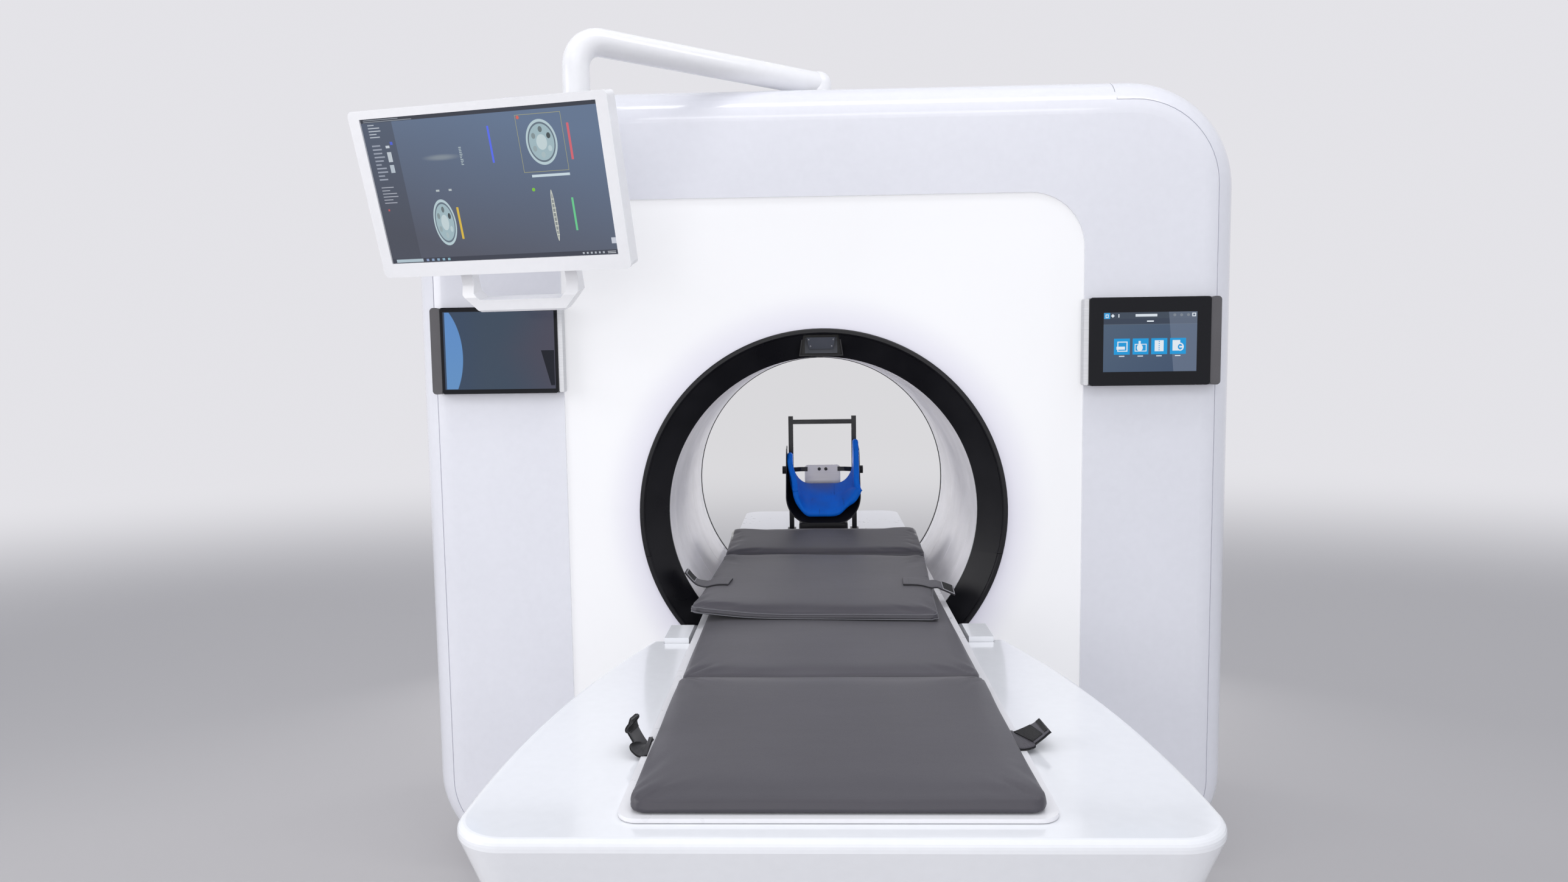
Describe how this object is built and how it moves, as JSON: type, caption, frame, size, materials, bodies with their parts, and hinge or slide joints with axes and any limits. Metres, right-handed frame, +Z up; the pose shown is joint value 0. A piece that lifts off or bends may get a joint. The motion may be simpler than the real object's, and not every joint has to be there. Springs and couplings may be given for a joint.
{
  "type": "cone-beam ct scanner",
  "caption": "Cone-beam CT scanner: ring gantry with a lit front, touch panels, patient bed through the bore, head cradle and swivelling monitor.",
  "frame": {"origin": "on the floor straight below the isocentre, the middle of the bore's length", "axes": "+Z up, -Y toward the patient side and the foot of the bed, +X to the right seen from the front"},
  "size_m": [2.015, 2.653, 2.045],
  "materials": {
    "casing": "gloss",
    "diffuser": "satin",
    "bore_black": "satin",
    "sensor_black": "matte",
    "liner_white": "matte",
    "liner_ring": "matte",
    "frame_steel": "satin",
    "race_steel": "brushed",
    "rotor_alloy": "satin",
    "source_grey": "satin",
    "detector_dark": "satin",
    "slip_brass": "polished",
    "brush_dark": "matte",
    "stator_steel": "satin",
    "panel_grey": "matte",
    "panel_glass": "gloss",
    "panel_screen": "gloss",
    "trim_silver": "satin",
    "arm_white": "gloss",
    "arm_steel": "satin",
    "monitor_white": "gloss",
    "monitor_screen": "gloss",
    "board_white": "gloss",
    "carriage_alloy": "satin",
    "pad_grey": "satin",
    "strap_black": "matte",
    "rest_black": "satin",
    "rest_metal": "satin",
    "cushion_blue": "matte"
  },
  "bodies": {
    "gantry": {"gantry_frame": "frame_steel", "front_panel": "casing", "wrap_shell": "casing", "rear_cover": "casing", "top_lid": "casing", "light_diffuser": "diffuser", "bore_ring_upper": "bore_black", "bore_ring_lower": "bore_black", "sensor_module": "sensor_black", "bore_liner": "liner_white", "rear_bore_ring": "liner_ring", "bearing_outer_race": "race_steel", "brush_block": "brush_dark", "drive_stator": "stator_steel", "panel_housing_right": "panel_grey", "panel_glass_right": "panel_glass", "panel_screen_right": "panel_screen", "panel_trim_right": "trim_silver", "panel_housing_left": "panel_grey", "panel_glass_left": "panel_glass", "panel_screen_left": "panel_screen", "panel_trim_left": "trim_silver", "arm_post": "arm_steel", "table_frame": "frame_steel", "table_body": "casing", "table_lid": "casing", "bridge_cover": "casing", "lift_outer_tube": "frame_steel"},
    "rotor": {"rotor_plate": "rotor_alloy", "bearing_inner_race": "race_steel", "xray_source": "source_grey", "flat_detector": "detector_dark", "hv_generator": "source_grey", "slip_ring": "slip_brass"},
    "arm": {"arm_tube": "arm_white"},
    "link": {"arm_link": "arm_white"},
    "monitor": {"monitor_yoke": "arm_steel", "monitor_back": "monitor_white", "monitor_bezel": "monitor_white", "monitor_screen": "monitor_screen", "monitor_handle": "monitor_white"},
    "carriage": {"lift_inner_tube": "race_steel", "bed_carriage": "carriage_alloy"},
    "bed": {"bed_board": "board_white", "bed_keel": "board_white", "foot_pad": "pad_grey", "mid_pad": "pad_grey", "overlay_pad": "pad_grey", "head_pad": "pad_grey", "strap_upper_left": "strap_black", "strap_upper_right": "strap_black", "strap_lower_left": "strap_black", "strap_lower_right": "strap_black", "headrest_base": "rest_black", "headrest_frame": "rest_black", "headrest_plate": "rest_metal"},
    "cradle": {"head_cradle": "rest_black", "cradle_cushion": "cushion_blue"},
    "knob_left": {"cradle_knob_left": "rest_black"},
    "knob_right": {"cradle_knob_right": "rest_black"}
  },
  "joints": [
    {"name": "rotor_spin", "type": "hinge", "parent": "gantry", "child": "rotor", "pos_m": [0, 0, 0.93], "axis": [0, 1, 0], "continuous": true},
    {"name": "arm_swivel", "type": "hinge", "parent": "gantry", "child": "arm", "pos_m": [0.002, -0.2, 2], "axis": [0, 0, 1], "range_deg": [0, 70]},
    {"name": "monitor_swivel", "type": "hinge", "parent": "arm", "child": "link", "pos_m": [-0.52907, -0.60898, 1.7], "axis": [0, 0, 1], "range_deg": [-20, 40]},
    {"name": "monitor_tilt", "type": "hinge", "parent": "link", "child": "monitor", "pos_m": [-0.65913, -0.65074, 1.70612], "axis": [0.9748, -0.2233, 0], "range_deg": [-20, 12]},
    {"name": "bed_lift", "type": "slide", "parent": "gantry", "child": "carriage", "axis": [0, 0, 1], "range_m": [0, 0.1]},
    {"name": "bed_slide", "type": "slide", "parent": "carriage", "child": "bed", "axis": [0, 1, 0], "range_m": [-0.3, 0.3]},
    {"name": "cradle_tilt", "type": "hinge", "parent": "bed", "child": "cradle", "pos_m": [0.006, 0.33, 0.957], "axis": [1, 0, 0], "range_deg": [-20, 6]},
    {"name": "knob_left_turn", "type": "hinge", "parent": "bed", "child": "knob_left", "pos_m": [-0.109, 0.33, 0.957], "axis": [-1, 0, 0], "continuous": true},
    {"name": "knob_right_turn", "type": "hinge", "parent": "bed", "child": "knob_right", "pos_m": [0.121, 0.33, 0.957], "axis": [1, 0, 0], "continuous": true}
  ]
}
